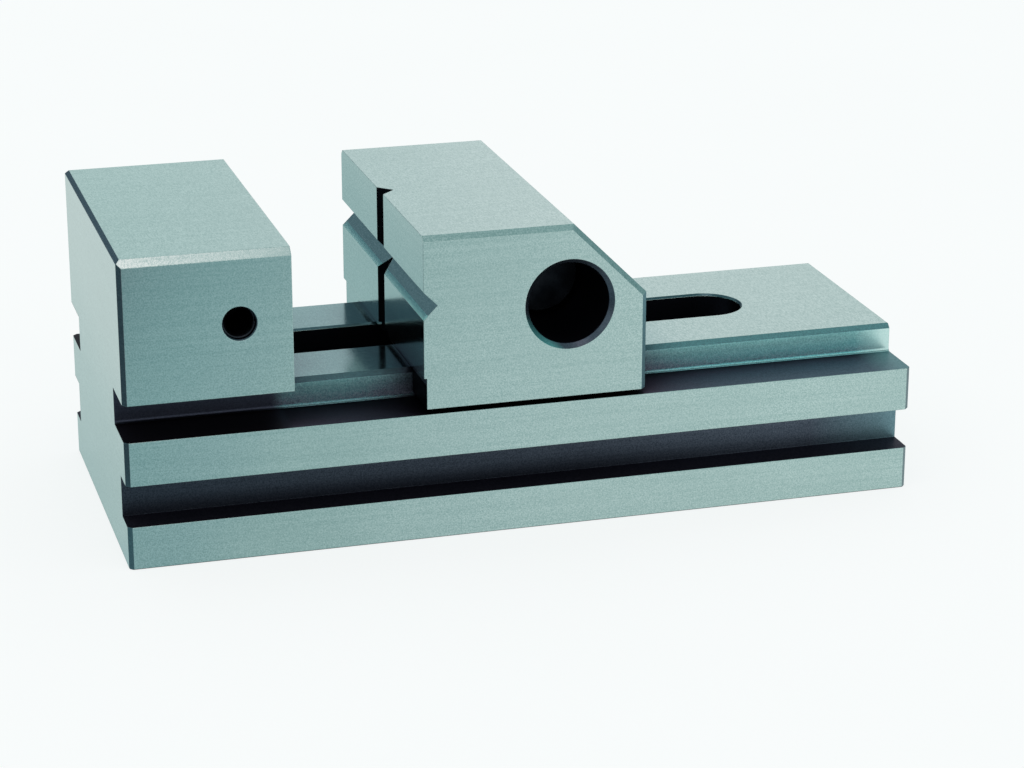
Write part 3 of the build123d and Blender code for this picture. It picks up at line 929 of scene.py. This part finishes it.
def make_clamp_screw(coil, ribs, material):
    """The M6 socket screw that pulls the jaw down and against the work, with a knurled head."""
    core = screw_core()
    core.materials.append(material)
    knurl = grown_mesh("knurl", ribs, {
        "Count": knurl_count,
        "Radius": head_core,
        "Rib Radius": head_radius - head_core,
        "Length": head_bottom - head_top - 3 * head_rounding,
        "Bottom": head_top + 2 * head_rounding,
        "Material": material,
    })
    main_thread = thread_ridge(coil, thread_start, groove_start, material)
    tip_thread = thread_ridge(coil, groove_end, screw_tip - tip_chamfer, material)
    joined = bmesh.new()
    for part in (core, knurl, main_thread, tip_thread):
        joined.from_mesh(part)
    mesh = bpy.data.meshes.new("clamp_screw_threaded")
    joined.to_mesh(mesh)
    joined.free()
    mesh.materials.append(material)
    mesh.transform(screw_frame())
    piece = show("clamp_screw_threaded", mesh, "clamp_screw")
    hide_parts("clamp_screw")
    return piece


def make_return_spring(coil, material):
    """The return spring, with closed ends ground flat."""
    height = spring_high - spring_low - spring_wire
    mesh = grown_mesh("return_spring_coil", coil, {
        "Coil Radius": (spring_outer - spring_wire) / 2,
        "Turns": spring_turns,
        "Closed Turns": spring_closed_turns,
        "Closed Pitch": spring_wire,
        "Height": height,
        "Points": int(spring_turns * spring_points),
        "Section Radius": spring_wire / 2,
        "Section Sides": spring_sides,
        "Section Turn": 0.0,
        "Low Cut": -spring_wire / 4,
        "High Cut": height + spring_wire / 4,
        "Material": material,
    })
    mesh.transform(screw_frame() @ Matrix.Translation((0, 0, spring_low + spring_wire / 2)))
    piece = show("return_spring_coil", mesh, "swivel")
    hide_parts("return_spring")
    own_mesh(piece)
    return piece


def seen_in_steel(tree, plain, steel_view):
    """A colour for camera and window rays, and another one for what the steel mirrors."""
    glossy = add(tree, "ShaderNodeLightPath", out="Is Glossy Ray")
    return add(tree, MIX, {0: glossy, 6: plain, 7: steel_view}, out=2, data_type="RGBA")


def white_share(tree, share):
    """How much of a pale surface shows as plain white: a share to the camera, the steel and any glass."""
    path = add(tree, "ShaderNodeLightPath", out=None).outputs
    seen = largest(tree, [path["Is Camera Ray"], path["Is Glossy Ray"], path["Is Transmission Ray"]])
    return add(tree, MATH, [seen, share], operation="MULTIPLY")


def make_floor():
    """Pale matt studio paper, white to the camera, with a soft shadow.

    In the steel the paper shows painted shade: it is pale behind the vise but for a duller stretch left of
    the middle, and in front it is pale at the right and dark at the left, a painted shadow of the vise.
    """
    material, tree = new_material("studio_paper")
    place = millimetres(tree)
    x, y, _ = add(tree, SPLIT, [place], out=None).outputs
    fibre = add(tree, NOISE, {"Vector": place, "Scale": paper_fibre, "Detail": 3.0})
    colour = add(tree, MIX, {0: fibre, 6: linear("#eff4f4"), 7: linear("#f6fafa")}, out=2, data_type="RGBA")
    matt = add(tree, "ShaderNodeBsdfDiffuse", {"Color": colour})

    forward = add(tree, MATH, [y, floor_slant_from], operation="SUBTRACT")
    slanted = add(tree, MATH, [forward, floor_slant, x], operation="MULTIPLY_ADD")
    fields = []
    for along, stops in ((slanted, painted_floor_in_front), (x, painted_floor_behind)):
        share = add(tree, RANGE, [along, -studio_half, studio_half, 0.0, 1.0])
        ramp = add(tree, "ShaderNodeValToRGB", [share], out=None)
        set_stops(ramp.color_ramp, stops)
        fields.append(ramp.outputs["Color"])
    behind = add(tree, RANGE, [y, *floor_change, 0.0, 1.0])
    mirrored = add(tree, MIX, {0: behind, 6: fields[0], 7: fields[1]}, out=2, data_type="RGBA")
    shown = seen_in_steel(tree, linear(white), mirrored)
    glow = add(tree, "ShaderNodeEmission", {"Color": shown, "Strength": 1.0})
    shader = add(tree, "ShaderNodeMixShader", [white_share(tree, paper_white), matt, glow])
    add(tree, "ShaderNodeOutputMaterial", {"Surface": shader}, out=None)

    signs = [(-1, -1), (1, -1), (1, 1), (-1, 1)]
    corners = [(floor_half * a, floor_half * b, -floor_drop) for a, b in signs]
    mesh = bpy.data.meshes.new("studio_floor")
    mesh.from_pydata(corners, [], [(0, 1, 2, 3)])
    mesh.materials.append(material)
    floor = bpy.data.objects.new("studio_floor", mesh)
    bpy.context.scene.collection.objects.link(floor)


def make_world():
    """A studio round the vise, white to the camera, with an even soft light for everything matt.

    In the steel its walls are pale, but for a dim stretch just left of straight behind and a duller one at
    the right, under a slightly grey ceiling.
    """
    world = bpy.data.worlds.new("studio")
    bpy.context.scene.world = world
    world.use_nodes = True
    tree = world.node_tree
    tree.nodes.clear()
    direction = add(tree, "ShaderNodeTexCoord", out="Generated")
    x, y, z = add(tree, SPLIT, [direction], out=None).outputs
    heading = add(tree, MATH, [x, y], operation="ARCTAN2")
    share = add(tree, RANGE, [heading, -math.pi, math.pi, 0.0, 1.0])
    walls = add(tree, "ShaderNodeValToRGB", [share], out=None)
    set_stops(walls.color_ramp, walls_by_heading)
    overhead = add(tree, RANGE, [z, *ceiling_span, 0.0, 1.0])
    inputs = {0: overhead, 6: walls.outputs["Color"], 7: linear(ceiling)}
    room = add(tree, MIX, inputs, out=2, data_type="RGBA")
    colour = seen_in_steel(tree, linear(white), room)
    strength = add(tree, MIX, {0: white_share(tree, 1.0), 2: soft_light, 3: seen_light})
    light = add(tree, "ShaderNodeBackground", {"Color": colour, "Strength": strength})
    add(tree, "ShaderNodeOutputWorld", {"Surface": light}, out=None)


def make_softbox(name, place, size, watts, colour):
    """A soft rectangular lamp that faces the middle of the vise, and that the camera doesn't see."""
    lamp = bpy.data.lights.new(name, "AREA")
    lamp.shape = "RECTANGLE"
    lamp.size, lamp.size_y = size
    lamp.energy = watts
    lamp.color = linear(colour)[:3]
    holder = bpy.data.objects.new(name, lamp)
    bpy.context.scene.collection.objects.link(holder)
    holder.location = place
    holder.rotation_euler = (lamp_aim - Vector(place)).to_track_quat("-Z", "Y").to_euler()
    holder.visible_camera = False


def make_camera():
    """A long lens from the side of the stop hole, above and towards the fixed jaw's end."""
    data = bpy.data.cameras.new("camera")
    data.sensor_width = sensor_width
    data.lens = lens
    data.clip_start = nearest
    camera = bpy.data.objects.new("camera", data)
    bpy.context.scene.collection.objects.link(camera)
    camera.location = camera_place
    camera.rotation_euler = (math.radians(90 - camera_down), 0, -math.radians(camera_right))
    bpy.context.scene.camera = camera


steel_body = ground_steel("ground_steel_body", body_regions)
steel_jaw = ground_steel("ground_steel_jaw", jaw_regions)
barrel_black = blackened_steel("black_oxide_barrel", barrel_centre, (0, 1, 0))
screw_black = blackened_steel("black_oxide_screw", barrel_centre, screw_axis)
thread_black = blackened_steel("tapped_thread", stop_hole, (0, 1, 0))
turned = turned_steel("turned_steel")
spring_grey = spring_steel("tempered_spring_steel")

finishes = {
    "vise_body": steel_body,
    "moving_jaw": steel_jaw,
    "swivel_barrel": barrel_black,
    "clamp_screw": screw_black,
    "thrust_washer": turned,
    "trunnion_nut": turned,
    "spring_plate": turned,
    "screw_end_clip": spring_grey,
    "return_spring": spring_grey,
}
for node, material in finishes.items():
    slots = frame["nodes"][node].data.materials
    if len(slots) == 0:
        slots.append(material)
    for index in range(len(slots)):
        slots[index] = material

coil = coil_tree()
make_stop_hole_thread(coil, thread_black)
make_return_spring(coil, spring_grey)
make_clamp_screw(coil, rib_tree(), screw_black)

make_floor()
make_world()
make_softbox("top_light", place=(-0.06, -0.19, 0.58), size=(0.284, 0.26), watts=0.162, colour="#ffdfdf")
make_softbox("top_left_light", place=(-0.04, -0.19, 0.56), size=(0.12, 0.26), watts=0.088, colour="#ffc6c6")
make_camera()

bpy.context.scene.view_settings.view_transform = "Standard"
